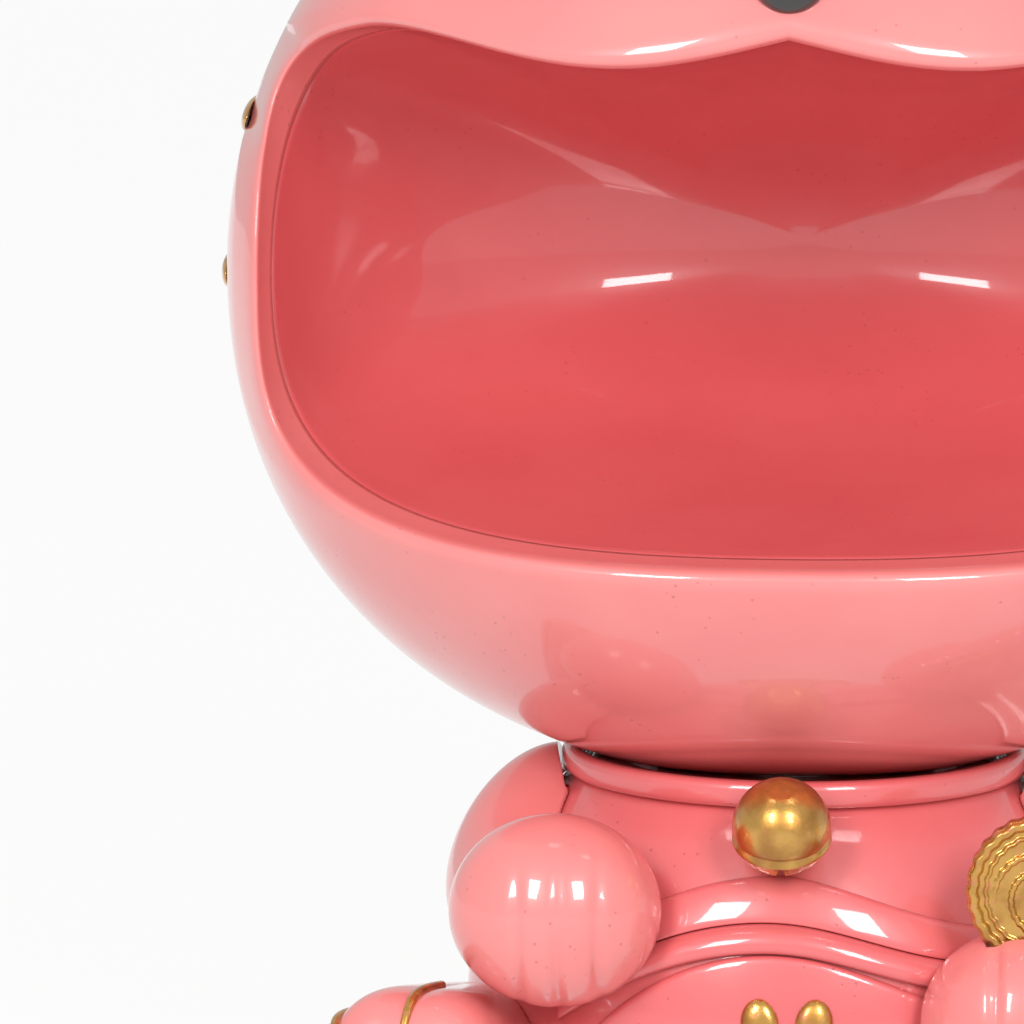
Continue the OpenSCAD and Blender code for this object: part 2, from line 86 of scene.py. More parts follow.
# ---------------------------------------------------------------- shader maths


class Value:
    """A number socket that adds Math nodes when it is used in an expression."""

    def __init__(self, tree: "Tree", socket: Socket) -> None:
        """Keeps the tree and the socket."""
        self.tree, self.socket = tree, socket

    def _math(self, operation: str, *terms: "Value | float", clamp: bool = False) -> "Value":
        """One Math node over the given terms."""
        node = self.tree.node("ShaderNodeMath", {"operation": operation, "use_clamp": clamp}, dict(enumerate(terms)))
        return Value(self.tree, node.outputs[0])

    def __add__(self, other: "Value | float") -> "Value":
        """Sum."""
        return self._math("ADD", self, other)

    def __radd__(self, other: float) -> "Value":
        """Sum with a number in front."""
        return self._math("ADD", other, self)

    def __sub__(self, other: "Value | float") -> "Value":
        """Difference."""
        return self._math("SUBTRACT", self, other)

    def __rsub__(self, other: float) -> "Value":
        """Difference from a number in front."""
        return self._math("SUBTRACT", other, self)

    def __mul__(self, other: "Value | float") -> "Value":
        """Product."""
        return self._math("MULTIPLY", self, other)

    def __rmul__(self, other: float) -> "Value":
        """Product with a number in front."""
        return self._math("MULTIPLY", other, self)

    def clamped(self) -> "Value":
        """The value held between 0 and 1."""
        return self._math("ADD", self, 0.0, clamp=True)

    def step(self, low: float, high: float) -> "Value":
        """Smooth rise from 0 to 1 between two levels.

        Args:
            low: level where the rise starts.
            high: level where the rise ends.

        Returns:
            The eased share.
        """
        settings = {"interpolation_type": "SMOOTHSTEP", "clamp": True}
        node = self.tree.node("ShaderNodeMapRange", settings, {0: self, 1: low, 2: high})
        return Value(self.tree, node.outputs[0])


class Tree:
    """A material's node tree with one way of adding nodes."""

    def __init__(self, name: str) -> None:
        """Starts an empty material with its output and its object coordinates."""
        self.material = bpy.data.materials.new(name)
        self.material.use_nodes = True
        self.tree = self.material.node_tree
        self.tree.nodes.clear()
        self.output = self.node("ShaderNodeOutputMaterial")
        self.place = self.node("ShaderNodeTexCoord").outputs["Object"]

    def node(self, kind: str, settings: dict | None = None, inputs: dict | None = None) -> bpy.types.Node:
        """Adds a node.

        Args:
            kind: the node's type name.
            settings: properties, set before the sockets.
            inputs: a value, a socket or a Value for each socket name or index.

        Returns:
            The new node.
        """
        made = self.tree.nodes.new(kind)
        for key, value in (settings or {}).items():
            setattr(made, key, value)
        for key, value in (inputs or {}).items():
            source = value.socket if isinstance(value, Value) else value
            if isinstance(source, bpy.types.NodeSocket):
                self.tree.links.new(source, made.inputs[key])
            else:
                made.inputs[key].default_value = source
        return made

    def noise(self, scale: float, detail: float = 2.0) -> Value:
        """Soft noise on the object's coordinates, scale in waves per metre."""
        made = self.node("ShaderNodeTexNoise", {}, {"Vector": self.place, "Scale": scale, "Detail": detail})
        return Value(self, made.outputs["Fac"])

    def specks(self, scale: float, size: float) -> Value:
        """Scattered round specks.

        Args:
            scale: cells per metre.
            size: a speck's radius as a share of its cell.

        Returns:
            A mask that is 1 in the specks.
        """
        cells = self.node("ShaderNodeTexVoronoi", {"feature": "F1"}, {"Vector": self.place, "Scale": scale})
        near = 1.0 - Value(self, cells.outputs["Distance"]).step(size * 0.5, size)
        return near * self.noise(scale * 0.13, 1.0).step(0.5, 0.62)

    def blend(self, factor: Value, a: Sequence[float] | Socket, b: Sequence[float] | Socket) -> Socket:
        """Mixes two colours by a factor and gives the colour socket."""
        four = [tuple(c) + (1.0,) if not isinstance(c, bpy.types.NodeSocket) else c for c in (a, b)]
        made = self.node("ShaderNodeMix", {"data_type": "RGBA"}, {0: factor, 6: four[0], 7: four[1]})
        return made.outputs[2]

    def bump(self, height: Value, distance: float, strength: float = 1.0) -> Socket:
        """A Bump node over a height, distance in metres."""
        made = self.node("ShaderNodeBump", {}, {"Height": height, "Distance": distance, "Strength": strength})
        return made.outputs["Normal"]

    def finish(self, inputs: dict) -> bpy.types.Material:
        """Adds the surface shader with the given sockets and returns the material."""
        shader = self.node("ShaderNodeBsdfPrincipled", {}, inputs)
        self.tree.links.new(shader.outputs[0], self.output.inputs["Surface"])
        return self.material


@dataclass(frozen=True)
class GlossPaint:
    """Clear-coated colour with faint mottling, dust specks and a soft orange peel."""

    name: str
    colour: tuple[float, float, float]
    deep: tuple[float, float, float]
    roughness: float = 0.3
    coat: float = 1.0
    coat_roughness: float = 0.045
    peel: float = 0.00004
    specks: float = 0.55

    def material(self) -> bpy.types.Material:
        """Builds the material."""
        tree = Tree(self.name)
        mottle = tree.noise(38.0, 3.0).step(0.3, 0.75)
        dust = tree.specks(420.0, 0.16) * self.specks
        colour = tree.blend(mottle * 0.55, self.colour, self.deep)
        colour = tree.blend(dust, colour, tuple(c * 0.55 for c in self.deep))
        height = tree.noise(260.0, 1.0) + dust * -0.8
        return tree.finish({
            "Base Color": colour, "Roughness": (mottle * 0.08 + self.roughness).clamped(),
            "Coat Weight": self.coat, "Coat Roughness": self.coat_roughness,
            "Normal": tree.bump(height, self.peel)})


@dataclass(frozen=True)
class WornGold:
    """Metallic gold paint, thin enough in places that the ground colour shows through."""

    name: str
    gold: tuple[float, float, float] = (0.66, 0.37, 0.085)
    brown: tuple[float, float, float] = (0.33, 0.13, 0.02)
    ground: tuple[float, float, float] = (0.55, 0.13, 0.1)
    wear: float = 0.45

    def material(self) -> bpy.types.Material:
        """Builds the material."""
        tree = Tree(self.name)
        stain = tree.noise(210.0, 4.0).step(0.35, 0.7)
        flakes = tree.noise(640.0, 3.0).step(0.56, 0.68) * self.wear
        colour = tree.blend(stain * 0.7, self.gold, self.brown)
        colour = tree.blend(flakes, colour, self.ground)
        height = tree.noise(900.0, 3.0)
        return tree.finish({
            "Base Color": colour, "Metallic": (0.92 - flakes).clamped(), "Roughness": (0.26 + stain * 0.16).clamped(),
            "Coat Weight": 0.6, "Coat Roughness": 0.08, "Normal": tree.bump(height, 0.00006)})


@dataclass(frozen=True)
class PlainMoulding:
    """Unpolished moulded plastic or rubber with a fine grain."""

    name: str
    colour: tuple[float, float, float]
    roughness: float = 0.6

    def material(self) -> bpy.types.Material:
        """Builds the material."""
        tree = Tree(self.name)
        grain = tree.noise(700.0, 3.0)
        colour = tree.blend(grain * 0.5, self.colour, tuple(c * 0.75 for c in self.colour))
        return tree.finish({
            "Base Color": colour, "Roughness": (grain * 0.2 + self.roughness - 0.1).clamped(),
            "Normal": tree.bump(grain, 0.00008)})


class Finish(Enum):
    """The figure's finishes, each made once."""

    HEAD = GlossPaint("gloss_head_pink", (0.84, 0.245, 0.235), (0.79, 0.195, 0.195))
    # Painted shade: the bowl liner uses the head's pink, darkened and saturated to stand in for the shade and reflected
    # light inside the mouth's hollow.
    MOUTH = GlossPaint("gloss_mouth_pink_painted_shade", (0.69, 0.115, 0.12), (0.64, 0.088, 0.098), specks=0.35)
    BODY = GlossPaint("gloss_body_pink", (0.76, 0.15, 0.155), (0.68, 0.11, 0.12), peel=0.00006)
    BLACK = GlossPaint("gloss_black", (0.012, 0.01, 0.01), (0.02, 0.016, 0.015), 0.22, specks=0.1)
    GOLD = WornGold("worn_gold")
    BRIGHT_GOLD = WornGold("bright_gold", wear=0.12)
    RESIN = PlainMoulding("plain_resin", (0.62, 0.16, 0.16))
    TUBE = PlainMoulding("tube_white", (0.72, 0.7, 0.66), 0.45)
    STOPPER = PlainMoulding("stopper_rubber", (0.7, 0.67, 0.6), 0.5)
    PAD = PlainMoulding("pad_foam", (0.02, 0.02, 0.02), 0.9)

    @property
    def material(self) -> bpy.types.Material:
        """The finish's material, built at first use."""
        return bpy.data.materials.get(self.value.name) or self.value.material()


# ---------------------------------------------------------------- mesh building


@dataclass
class Skin:
    """A closed surface as vertices in millimetres and faces."""

    points: np.ndarray
    quads: np.ndarray
    fans: np.ndarray

    @classmethod
    def over(cls, rows: Rows, ends: Ends = Ends.POLES) -> "Skin":
        """Skin over closed rows of points.

        Formula: each cell of the grid is a four-sided face, columns wrap round, and each end is a fan
        to the row's middle, or the last row meets the first.

        Args:
            rows: array of rows by columns by XYZ, in millimetres.
            ends: how the two ends close.

        Returns:
            The skin, faces outwards.
        """
        count, width = rows.shape[:2]
        i, j = np.meshgrid(np.arange(count if ends is Ends.LOOP else count - 1), np.arange(width), indexing="ij")
        k, n = (i + 1) % count, (j + 1) % width
        quads = np.stack([i * width + j, i * width + n, k * width + n, k * width + j], -1).reshape(-1, 4)
        points, fans = rows.reshape(-1, 3), np.zeros((0, 3), int)
        if ends is Ends.POLES:
            ring, last = np.arange(width), (count - 1) * width
            nxt, top = (ring + 1) % width, count * width
            fans = np.concatenate([
                np.stack([nxt, ring, np.full(width, top)], -1),
                np.stack([last + ring, last + nxt, np.full(width, top + 1)], -1)])
            points = np.concatenate([points, rows[0].mean(0)[None], rows[-1].mean(0)[None]])
        skin = cls(points, quads, fans)
        if skin.bulk() < 0:
            skin.quads, skin.fans = quads[:, ::-1], fans[:, ::-1]
        return skin

    def bulk(self) -> float:
        """Signed volume, positive where the faces point outwards."""
        tris = np.concatenate([self.quads[:, [0, 1, 2]], self.quads[:, [0, 2, 3]], self.fans])
        a, b, c = (self.points[tris[:, n]] for n in range(3))
        return float(np.einsum("ij,ij->", a, np.cross(b, c)))

    @staticmethod
    def piece(name: str, skins: Sequence["Skin"]) -> bpy.types.Object:
        """Puts one or more skins into a smooth-shaded object at the origin.

        Args:
            name: the object's name.
            skins: closed skins that do not touch.

        Returns:
            The linked object, held inside the solid model's box.
        """
        points, faces, start = [], [], 0
        for skin in skins:
            points.append(np.clip(skin.points, LOW, HIGH) * MM)
            faces += (skin.quads + start).tolist() + (skin.fans + start).tolist()
            start += len(skin.points)
        mesh = bpy.data.meshes.new(name)
        mesh.from_pydata(np.concatenate(points).tolist(), [], faces)
        mesh.polygons.foreach_set("use_smooth", np.ones(len(mesh.polygons), bool))
        mesh.update()
        made = bpy.data.objects.new(name, mesh)
        bpy.context.scene.collection.objects.link(made)
        return made


def put(name: str, skins: Sequence[Skin], finish: Finish) -> bpy.types.Object:
    """Makes a dressed piece that stands for the solid node of the same name.

    Args:
        name: the solid node's name.
        skins: the piece's closed skins.
        finish: its finish.

    Returns:
        The piece.
    """
    made = Skin.piece(f"{name}_skin", skins)
    made.data.materials.append(finish.material)
    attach(made, "bank")
    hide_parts(name)
    LOG.info("%s: %d faces", name, len(made.data.polygons))
    return made


def cut(piece: bpy.types.Object, cutter: Skin | None, box: tuple | None = None) -> None:
    """Takes a cutter away from a piece and keeps the result as its mesh.

    Args:
        piece: the object to cut.
        cutter: a skin to cut with, or None.
        box: lowest and highest corner of a box to cut with, in millimetres, if there is no skin.
    """
    if cutter is None:
        lo, hi = np.array(box[0], float), np.array(box[1], float)
        square = np.array([[0, 0], [1, 0], [1, 1], [0, 1]], float)
        rows = np.stack([np.column_stack([square, np.full(4, z)]) for z in (0.0, 1.0)]) * (hi - lo) + lo
        cutter = Skin.over(rows)
    faces = cutter.quads.tolist() + cutter.fans.tolist()
    mesh = bpy.data.meshes.new("cutter")
    mesh.from_pydata((cutter.points * MM).tolist(), [], faces)
    tool = bpy.data.objects.new("cutter", mesh)
    bpy.context.scene.collection.objects.link(tool)
    change = piece.modifiers.new("cut", "BOOLEAN")
    change.operation, change.object, change.solver = "DIFFERENCE", tool, "EXACT"
    graph = bpy.context.evaluated_depsgraph_get()
    result = bpy.data.meshes.new_from_object(piece.evaluated_get(graph))
    piece.modifiers.clear()
    piece.data = result
    bpy.data.objects.remove(tool)
    piece.data.polygons.foreach_set("use_smooth", np.ones(len(piece.data.polygons), bool))


def deg(value: np.ndarray | float) -> np.ndarray | float:
    """Degrees to radians."""
    return np.radians(value)


def stack(x: np.ndarray, y: np.ndarray, z: np.ndarray) -> Rows:
    """Three coordinate arrays as one array of points."""
    return np.stack(np.broadcast_arrays(x, y, z), -1).astype(float)


# ---------------------------------------------------------------- forms shared by the pieces


@dataclass(frozen=True)
class HeadForm:
    """The head's outer form and mouth, in millimetres."""

    half_w: float = 100.0
    up: float = 94.5
    down: float = 90.0
    front: float = 82.0
    back: float = 72.0
    z: float = 165.0
    wall: float = 4.0
    mouth_half_w: float = 92.0
    mouth_drop: float = 2.0
    mouth_up: float = 49.0
    mouth_down: float = 40.7
    bowl_depth: float = 122.0
    rim_depth: float = 14.0

    def radius(self, th: np.ndarray) -> np.ndarray:
        """Distance from the middle to the outline at polar angle th: a superellipse, fuller below."""
        low = np.sin(th) < 0
        n = np.where(low, 2.15, 2.0)
        tall = np.where(low, self.down, self.up)
        return ((abs(np.cos(th)) / self.half_w) ** n + (abs(np.sin(th)) / tall) ** n) ** (-1 / n)

    def point(self, th: np.ndarray, ph: np.ndarray, off: float = 0.0) -> Rows:
        """Point at polar angle th and angle ph from the front, off above the surface."""
        r = (self.radius(th) + off) * np.sin(ph)
        deep = np.where(np.cos(ph) > 0, self.front, self.back)
        return stack(r * np.cos(th), -(deep + off) * np.cos(ph), self.z + r * np.sin(th))

    def face(self, x: np.ndarray, z: np.ndarray, off: np.ndarray | float = 0.0) -> Rows:
        """Point on the front over (x, z) measured from the head's middle."""
        th = np.arctan2(z, x)
        share = np.minimum(np.hypot(x, z) / self.radius(th), 1.0)
        return self.point(th, np.arcsin(share), off)

    def share(self, p: Rows, off: float) -> np.ndarray:
        """How far out each point is: 1 lies off above the head, less is nearer its middle."""
        x, y, z = p[..., 0], p[..., 1], p[..., 2] - self.z
        r, deep = self.radius(np.arctan2(z, x)) + off, np.where(y < 0, self.front, self.back) + off
        return np.maximum(np.hypot(np.hypot(x, z) / r, y / deep), 1e-3)

    def on(self, p: Rows, off: float, share: np.ndarray | None = None) -> Rows:
        """Moves points along their own direction to lie off above the head."""
        s = self.share(p, off) if share is None else share
        return stack(p[..., 0] / s, p[..., 1] / s, self.z + (p[..., 2] - self.z) / s)

    def clear(self, p: Rows, off: float) -> Rows:
        """Pushes points out along their own direction to at least off above the head."""
        return self.on(p, off, np.minimum(self.share(p, off), 1.0))

    def mouth(self, t: np.ndarray) -> tuple[np.ndarray, np.ndarray]:
        """Mouth outline at angle t: a superellipse whose upper edge hangs down in two lobes."""
        rise = np.sin(t) > 0
        p, b = np.where(rise, 6.0, 3.7), np.where(rise, self.mouth_up, self.mouth_down)
        r = ((abs(np.cos(t)) / self.mouth_half_w) ** p + (abs(np.sin(t)) / b) ** p) ** (-1 / p)
        x = r * np.cos(t)
        near = np.clip((abs(x) - 30.0) / 42.0, -1, 1)
        lobe = np.where(rise, 7.0 * np.maximum(np.cos(near * math.pi / 2), 0) ** 1.5, 0.0)
        return x, r * np.sin(t) - self.mouth_drop - lobe * np.minimum(1.0, 2 * np.maximum(np.sin(t), 0))

    def bowl(self, t: np.ndarray, d: np.ndarray, off: float = 0.0) -> Rows:
        """Bowl wall a share d of the way back: the outline eases to an oval and tucks in by a 2.1-power curve."""
        x, z = self.mouth(t)
        near, a = self.face(x, z)[..., 1], np.arctan2(z, x)
        q = np.maximum(0.0, 1 - d ** 2.1) ** (1 / 2.1)
        smooth = 1 / np.hypot(np.cos(a) / self.mouth_half_w, np.sin(a) / 44.1)
        r = np.hypot(x, z) * (1 - d ** 1.2) + smooth * d ** 1.2
        r = r * q + off * np.sqrt(np.maximum(0.0, 1 - d * d))
        deepest = self.bowl_depth - self.front
        return stack(r * np.cos(a), near + (deepest - near) * d + off * d, self.z + r * np.sin(a))

    def rim_share(self, t: np.ndarray, depth: float) -> np.ndarray:
        """Share of the bowl's depth that lies a given depth behind the mouth's edge."""
        x, z = self.mouth(t)
        return depth / (self.bowl_depth - self.front - self.face(x, z)[..., 1])


@dataclass(frozen=True)
class BodyForm:
    """The body's oval cross-sections, in millimetres."""

    belly_x: float = 58.0
    belly_y: float = 52.0
    neck_x: float = 36.0
    neck_y: float = 34.0
    base_in: float = 7.0
    belly_z: float = 34.0
    neck_z: float = 79.0

    def half(self, z: np.ndarray) -> tuple[np.ndarray, np.ndarray]:
        """Half width and half depth at height z: power curves from the belly to neck and base."""
        z = np.clip(z, 0, self.neck_z)
        over = np.maximum((z - self.belly_z) / (self.neck_z - self.belly_z), 0) ** 2.2
        under = np.maximum((self.belly_z - z) / self.belly_z, 0) ** 2 * self.base_in
        return (self.belly_x - (self.belly_x - self.neck_x) * over - under,
                self.belly_y - (self.belly_y - self.neck_y) * over - under)

    def front(self, x: np.ndarray, z: np.ndarray, off: np.ndarray | float = 0.0) -> Rows:
        """Point on the front over (x, z), off above the surface."""
        rx, ry = self.half(z)
        return stack(x, -(ry + off) * np.sqrt(np.maximum(1e-4, 1 - (x / (rx + off)) ** 2)), z)

    def clear(self, p: Rows, off: float) -> Rows:
        """Pushes points level out of the body to at least off outside it."""
        rx, ry = self.half(p[..., 2])
        s = np.maximum(np.hypot(p[..., 0] / (rx + off), p[..., 1] / (ry + off)), 1e-3)
        s = np.minimum(s, 1.0)
        return stack(p[..., 0] / s, p[..., 1] / s, p[..., 2])

    def clear_collar(self, p: Rows, off: float) -> Rows:
        """Pushes points level out of the column that the collar fills."""
        s = np.maximum(np.hypot(p[..., 0] / (self.neck_x + off), p[..., 1] / (self.neck_y + off)), 1e-3)
        s = np.where(p[..., 2] < self.neck_z - 5, 1.0, np.minimum(s, 1.0))
        return stack(p[..., 0] / s, p[..., 1] / s, p[..., 2])


HEAD = HeadForm()
BODY = BodyForm()


def clear_ball(p: Rows, centre: Sequence[float], radii: Sequence[float], off: float) -> Rows:
    """Pushes points out of an ellipsoid to about off outside it."""
    c, r = np.array(centre), np.array(radii) + off
    q = p - c
    s = np.clip(np.linalg.norm(q / r, axis=-1, keepdims=True), 0.05, 1.0)
    return c + q / s


def button(outline: np.ndarray, over: Callable, height: float, base: float = 0.2, rows: int = 26) -> Skin:
    """Raised button on a surface.

    Formula: the outline is scaled about its middle; the height falls off as the fourth root of one minus
    the scale squared, and the underside follows the surface at a constant gap.

    Args:
        outline: closed outline as (u, v) rows.
        over: function of u, v and height that gives points.
        height: height at the middle.
        base: gap under the button.
        rows: rows over the top.

    Returns:
        The closed skin.
    """
    s = np.sin(np.linspace(0.02, 1, rows) * math.pi / 2)
    top = base + 0.05 + (height - base - 0.05) * (1 - s ** 2.6) ** 0.5
    scale = np.concatenate([s, np.linspace(1, 0.02, 8)])
    lift = np.concatenate([top, np.full(8, base)])
    c = outline.mean(0)
    grid = c + (outline - c)[None] * scale[:, None, None]
    return Skin.over(over(grid[..., 0], grid[..., 1], lift[:, None]))


def oval(cx: float, cy: float, rx: float, ry: float, turn: float = 0.0, n: int = 72) -> np.ndarray:
    """Closed oval outline about (cx, cy), turned by an angle in degrees."""
    a, k = np.linspace(0, 2 * math.pi, n, endpoint=False), deg(turn)
    x, y = rx * np.cos(a), ry * np.sin(a)
    return np.column_stack([cx + x * np.cos(k) - y * np.sin(k), cy + x * np.sin(k) + y * np.cos(k)])


# ---------------------------------------------------------------- sub-assemblies


@dataclass
class Head:
    """Head casting with its rolled mouth rim, and the bowl liner behind it."""

    form: HeadForm = HEAD
    columns: int = 400
    roll: float = 5.2
    slot: tuple[float, float, float] = (42.0, 5.0, 36.0)

    def angles(self) -> np.ndarray:
        """Column angles round the mouth, closer together at its sides."""
        u = np.linspace(0, 2 * math.pi, self.columns, endpoint=False)
        return u - deg(8.0) * np.sin(2 * u)

    def shell(self) -> bpy.types.Object:
        """Head casting: outer form, rolled rim, inner wall, then the slot and the neck cut out."""
        f, t = self.form, self.angles()[None]
        x, z = f.mouth(t)
        th = np.arctan2(z, x)
        start = np.arcsin(np.minimum(1, (np.hypot(x, z) + self.roll) / f.radius(th)))
        k = np.linspace(1, 0, 84)[:, None]
        outer = f.point(th, start + (math.pi - 0.01 - start) * k)
        p0, p2 = outer[-1:], f.bowl(t, f.rim_share(t, self.roll))
        p1 = f.face(x, z) + stack(0 * x, 0 * x - 0.6, 0 * x)
        b = np.linspace(0, 1, 14)[1:, None, None]
        rim = (1 - b) ** 2 * p0 + 2 * b * (1 - b) * p1 + b * b * p2
        deep = np.linspace(self.roll, f.rim_depth, 7)[1:, None]
        throat = f.bowl(t, f.rim_share(t, 1.0) * deep)
        seat = f.bowl(t, f.rim_share(t, f.rim_depth), 3.6)
        edge = f.face(x, z)[..., 1]
        first = np.arccos(np.clip(-(edge + f.rim_depth + 3) / (f.front - f.wall), -1, 1))
        k = np.linspace(0, 1, 30)[:, None]
        inner = f.point(th, first + (math.pi - 0.01 - first) * k, -f.wall)
        inner[..., 2] = np.maximum(inner[..., 2], BODY.neck_z + f.wall)
        piece = put("head_shell", [Skin.over(np.concatenate([outer, rim, throat, seat, inner]))],
                    Finish.HEAD)
        long, wide, up = self.slot
        low = (-long / 2, f.back * 0.5, f.z + up - wide / 2)
        cut(piece, None, (low, (long / 2, f.back * 1.5, f.z + up + wide / 2)))
        cut(piece, None, ((-60, -60, 60), (60, 60, BODY.neck_z + 0.2)))
        a = np.linspace(0, 2 * math.pi, 96, endpoint=False)[None]
        cut(piece, Skin.over(stack(24.1 * np.cos(a), 24.1 * np.sin(a), np.array([[70.0], [96.0]]))))
        return piece

    def bowl(self) -> bpy.types.Object:
        """Bowl liner: the wall seen through the mouth and its back, a constant wall apart."""
        f, t = self.form, self.angles()[None]
        first = f.rim_share(t, f.rim_depth) + 0.0006
        k = np.linspace(0, 1, 70)[:, None] ** 0.8
        d = first + (0.9995 - first) * k
        rows = np.concatenate([f.bowl(t, d)[::-1], f.bowl(t, d, 3.0)[::2]])
        return put("mouth_bowl", [Skin.over(rows)], Finish.MOUTH)

    def nose(self) -> bpy.types.Object:
        """Nose: a rounded triangle button, point down."""
        a = np.linspace(0, 2 * math.pi, 120, endpoint=False)
        r = 1 + 0.12 * np.cos(3 * (a + math.pi / 2))
        outline = np.column_stack([8.6 * r * np.cos(a), 56 + 5.8 * r * np.sin(a)])
        return put("nose", [button(outline, self.form.face, 4.2)], Finish.BLACK)

    def eye(self, side: Side) -> bpy.types.Object:
        """Closed smiling eye: a bowed round cord that follows the face and thins at its ends."""
        u = np.linspace(0, 1, 70)[:, None]
        a = np.linspace(0, 2 * math.pi, 28, endpoint=False)[None]
        w = 2.2 * np.maximum(0.03, np.sin(math.pi * (0.03 + 0.94 * u))) ** 0.35
        x, z = side.value * (22 + 34 * u), 61 + 10 * np.sin(math.pi * u)
        rows = self.form.face(x + 0 * a, z + w * np.cos(a), 1.3 + 1.1 * np.sin(a))
        return put(f"{side.word}_eye", [Skin.over(rows)], Finish.BLACK)

    def whiskers(self, side: Side) -> bpy.types.Object:
        """Two raised dashes low on the side of the head."""
        skins = []
        for level in (15.0, -1.0):
            outline = oval(0, 0, 2.0, 10.0)
            th = deg(level + outline[:, 0] if side is Side.RIGHT else 180 - level - outline[:, 0])
            skins.append(button(np.column_stack([th, deg(97 + outline[:, 1])]), self.form.point, 1.6))
        return put(f"{side.word}_whiskers", skins, Finish.GOLD)

    def build(self) -> None:
        """Makes every piece of the head."""
        self.shell()
        self.bowl()
        self.nose()
        for side in Side:
            self.eye(side)
            self.whiskers(side)
            Ear(side).build()


@dataclass
class Ear:
    """Rounded triangular ear on the crown with a gilt plate on its front."""

    side: Side
    x: float = 54.0
    lean: float = 26.0

    def point(self, a: np.ndarray, u: np.ndarray, grow: np.ndarray | float = 0.0) -> Rows:
        """Point at angle a round the ear and share u of its height; both radii taper to a soft tip."""
        taper = np.maximum(0.0, 1 - np.maximum(u, 0.0) ** 1.9) ** 0.62
        x, y = (21 + grow) * taper * np.cos(a), (10 + grow) * taper * np.sin(a) + 2
        z, k = 74 + 24 * u - 9 * (1 - u), deg(self.lean)
        px = self.x + x * np.cos(k) + (z - 74) * np.sin(k)
        return stack(self.side.value * px, y, HEAD.z + z - x * np.sin(k))

    def build(self) -> None:
        """Makes the ear and its inner plate."""
        a = np.linspace(0, 2 * math.pi, 96, endpoint=False)[None]
        low, high = np.full_like(a, -0.25), np.full_like(a, 0.9)
        for _ in range(24):
            middle = (low + high) / 2
            buried = HEAD.share(self.point(a, middle), 0.15) < 1
            low, high = np.where(buried, middle, low), np.where(buried, high, middle)
        rows = self.point(a, high + (0.998 - high) * np.linspace(0, 1, 48)[:, None] ** 0.8)
        c = rows[:1].mean(1, keepdims=True)
        seat = HEAD.on(c + (rows[:1] - c) * np.linspace(0.03, 0.95, 10)[:, None, None], 0.15)
        put(f"{self.side.word}_ear", [Skin.over(np.concatenate([seat, rows]))], Finish.HEAD)
        u = np.linspace(0.34, 0.8, 30)[:, None]
        wide = deg(25.0) * np.sqrt(np.clip(1 - (2 * (u - 0.34) / 0.46 - 1) ** 4, 0.02, 1))
        k = np.linspace(-1, 1, 24)[None]
        front = self.point(-math.pi / 2 + wide * k, u, 0.5 + 1.2 * (1 - k ** 4) ** 0.5)
        under = self.point(-math.pi / 2 + wide * k[:, ::-1], u, 0.5)
        rows = HEAD.clear(np.concatenate([front, under[:, 1:-1]], 1), 1.4)
        put(f"{self.side.word}_inner_ear", [Skin.over(rows)], Finish.GOLD)


